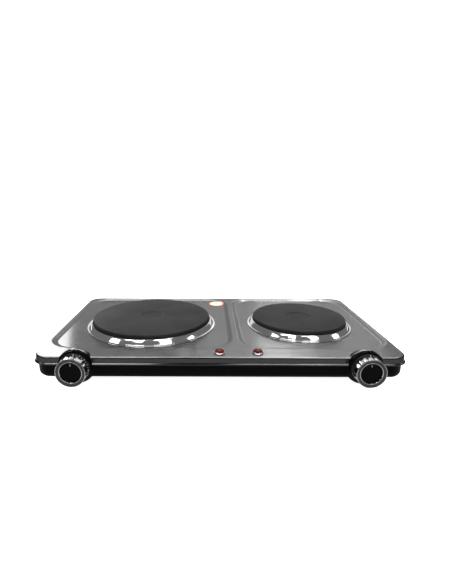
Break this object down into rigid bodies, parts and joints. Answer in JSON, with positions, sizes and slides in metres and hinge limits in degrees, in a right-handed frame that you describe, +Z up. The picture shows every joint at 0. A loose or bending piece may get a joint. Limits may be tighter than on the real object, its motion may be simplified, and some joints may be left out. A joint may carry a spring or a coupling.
{
  "type": "double electric hot plate",
  "caption": "Flat table-top cooker with a large and a small round cast-iron plate in a pressed steel top, a black tray, pilot lights and two rotary heat knobs.",
  "frame": {"origin": "on the table, under the middle of the whole part's box", "axes": "+X to the right along the front, +Y to the back, +Z up; the knobs are on the -Y side"},
  "size_m": [0.48, 0.2942, 0.0533],
  "materials": {
    "stainless_top": "brushed along the width, semi-bright",
    "black_tray": "satin moulded, heat resistant",
    "cast_iron_plate": "matte black, finely turned",
    "chrome_trim": "mirror polished",
    "ceramic": "matte fired ceramic",
    "zinc_steel": "zinc plated, dull",
    "black_plastic": "smooth moulded",
    "dial_grey": "satin with light printed marks",
    "brass": "bright turned",
    "red_lens": "translucent red, faceted",
    "foot_rubber": "matte",
    "lead_insulation": "silicone sleeve",
    "label": "printed paper, plain disc and ring"
  },
  "bodies": {
    "housing": {"base_tray": "black_tray", "cord_gland": "black_plastic", "earth_terminal": "brass", "front_left_foot": "foot_rubber", "front_left_screw": "zinc_steel", "front_right_foot": "foot_rubber", "front_right_screw": "zinc_steel", "heat_shield": "zinc_steel", "large_clamp_bar": "zinc_steel", "large_heating_element": "ceramic", "large_hot_plate": "cast_iron_plate", "large_plate_cover": "zinc_steel", "large_plate_stud": "zinc_steel", "large_return_lead": "lead_insulation", "large_stud_nut": "zinc_steel", "large_trim_ring": "chrome_trim", "left_bezel": "black_plastic", "left_bimetal_strip": "zinc_steel", "left_element_lead": "lead_insulation", "left_lamp_holder": "ceramic", "left_light_bezel": "chrome_trim", "left_light_lens": "red_lens", "left_supply_lead": "lead_insulation", "left_thermostat_body": "ceramic", "left_thermostat_bracket": "zinc_steel", "rear_left_foot": "foot_rubber", "rear_left_screw": "zinc_steel", "rear_right_foot": "foot_rubber", "rear_right_screw": "zinc_steel", "right_bezel": "black_plastic", "right_bimetal_strip": "zinc_steel", "right_element_lead": "lead_insulation", "right_lamp_holder": "ceramic", "right_light_bezel": "chrome_trim", "right_light_lens": "red_lens", "right_supply_lead": "lead_insulation", "right_thermostat_body": "ceramic", "right_thermostat_bracket": "zinc_steel", "round_label": "label", "small_clamp_bar": "zinc_steel", "small_heating_element": "ceramic", "small_hot_plate": "cast_iron_plate", "small_plate_cover": "zinc_steel", "small_plate_stud": "zinc_steel", "small_return_lead": "lead_insulation", "small_stud_nut": "zinc_steel", "small_trim_ring": "chrome_trim", "terminal_block": "ceramic", "top_cover": "stainless_top"},
    "left_knob": {"left_knob_core": "black_plastic", "left_grip_ring": "chrome_trim", "left_dial_skirt": "dial_grey", "left_control_shaft": "brass"},
    "right_knob": {"right_knob_core": "black_plastic", "right_grip_ring": "chrome_trim", "right_dial_skirt": "dial_grey", "right_control_shaft": "brass"},
    "left_contact": {"left_contact_arm": "brass"},
    "right_contact": {"right_contact_arm": "brass"}
  },
  "joints": [
    {"name": "left_knob_turn", "type": "hinge", "parent": "housing", "child": "left_knob", "pos_m": [-0.1823, -0.13115, 0.0299], "axis": [0, 1, 0], "range_deg": [0, 270]},
    {"name": "right_knob_turn", "type": "hinge", "parent": "housing", "child": "right_knob", "pos_m": [0.1823, -0.13115, 0.0299], "axis": [0, 1, 0], "range_deg": [0, 270]},
    {"name": "left_contact_swing", "type": "hinge", "parent": "housing", "child": "left_contact", "pos_m": [-0.1963, -0.10335, 0.0251], "axis": [0, 1, 0], "range_deg": [0, 3.3]},
    {"name": "right_contact_swing", "type": "hinge", "parent": "housing", "child": "right_contact", "pos_m": [0.1683, -0.10335, 0.0251], "axis": [0, 1, 0], "range_deg": [0, 3.3]}
  ],
  "couplings": [
    {"joint": "left_contact_swing", "follows": "left_knob_turn", "ratio": 0.012},
    {"joint": "right_contact_swing", "follows": "right_knob_turn", "ratio": 0.012}
  ]
}
